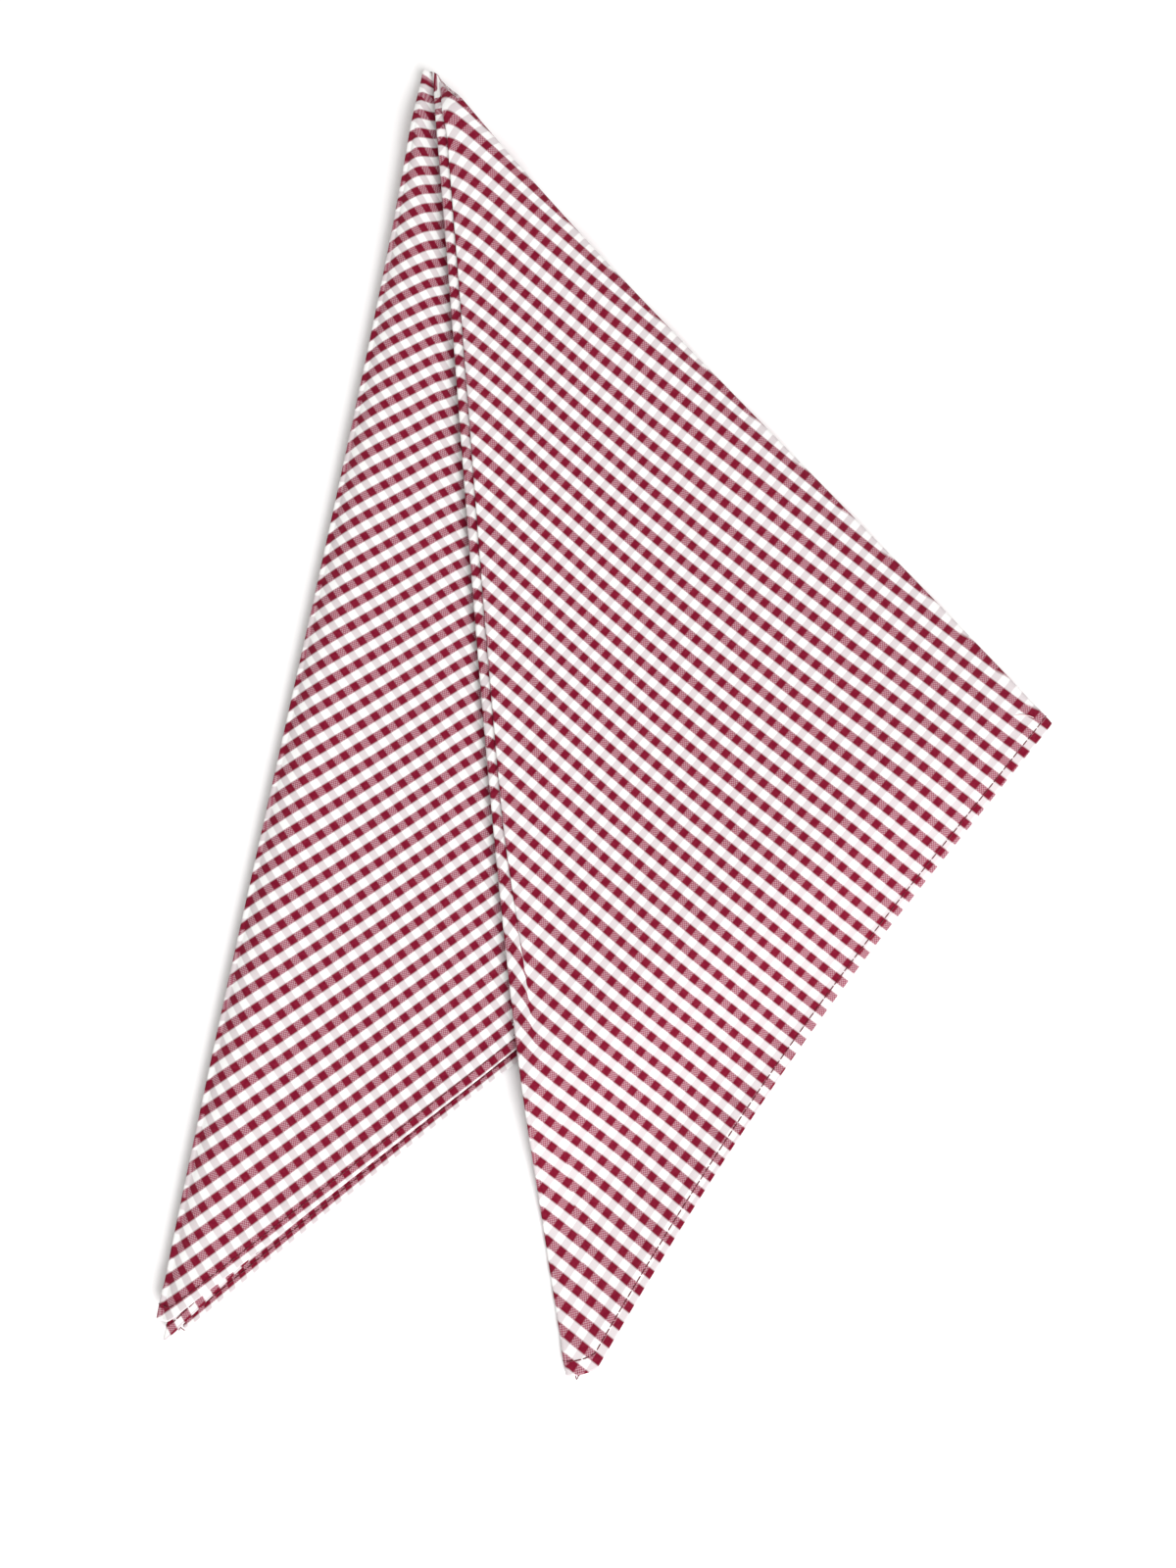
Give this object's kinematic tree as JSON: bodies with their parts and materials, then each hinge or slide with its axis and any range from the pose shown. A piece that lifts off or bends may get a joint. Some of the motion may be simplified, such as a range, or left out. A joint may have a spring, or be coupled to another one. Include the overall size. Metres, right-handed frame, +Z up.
{
  "type": "folded bandana",
  "caption": "Square checked cotton bandana, gathered at its middle and laid flat in pleats that fan out from the tip to pointed legs of hemmed cloth.",
  "frame": {"origin": "on the surface, under the middle of the folded cloth's bounding box", "axes": "+Y towards the gathered tip, +X towards the wrapped corner on the right, +Z up from the surface the cloth lies on"},
  "size_m": [0.2646, 0.403, 0.0131],
  "materials": {
    "gingham_cotton": "plain-woven cotton in a burgundy and white gingham check, matt"
  },
  "bodies": {
    "root": {"bandana": "gingham_cotton"}
  },
  "joints": []
}
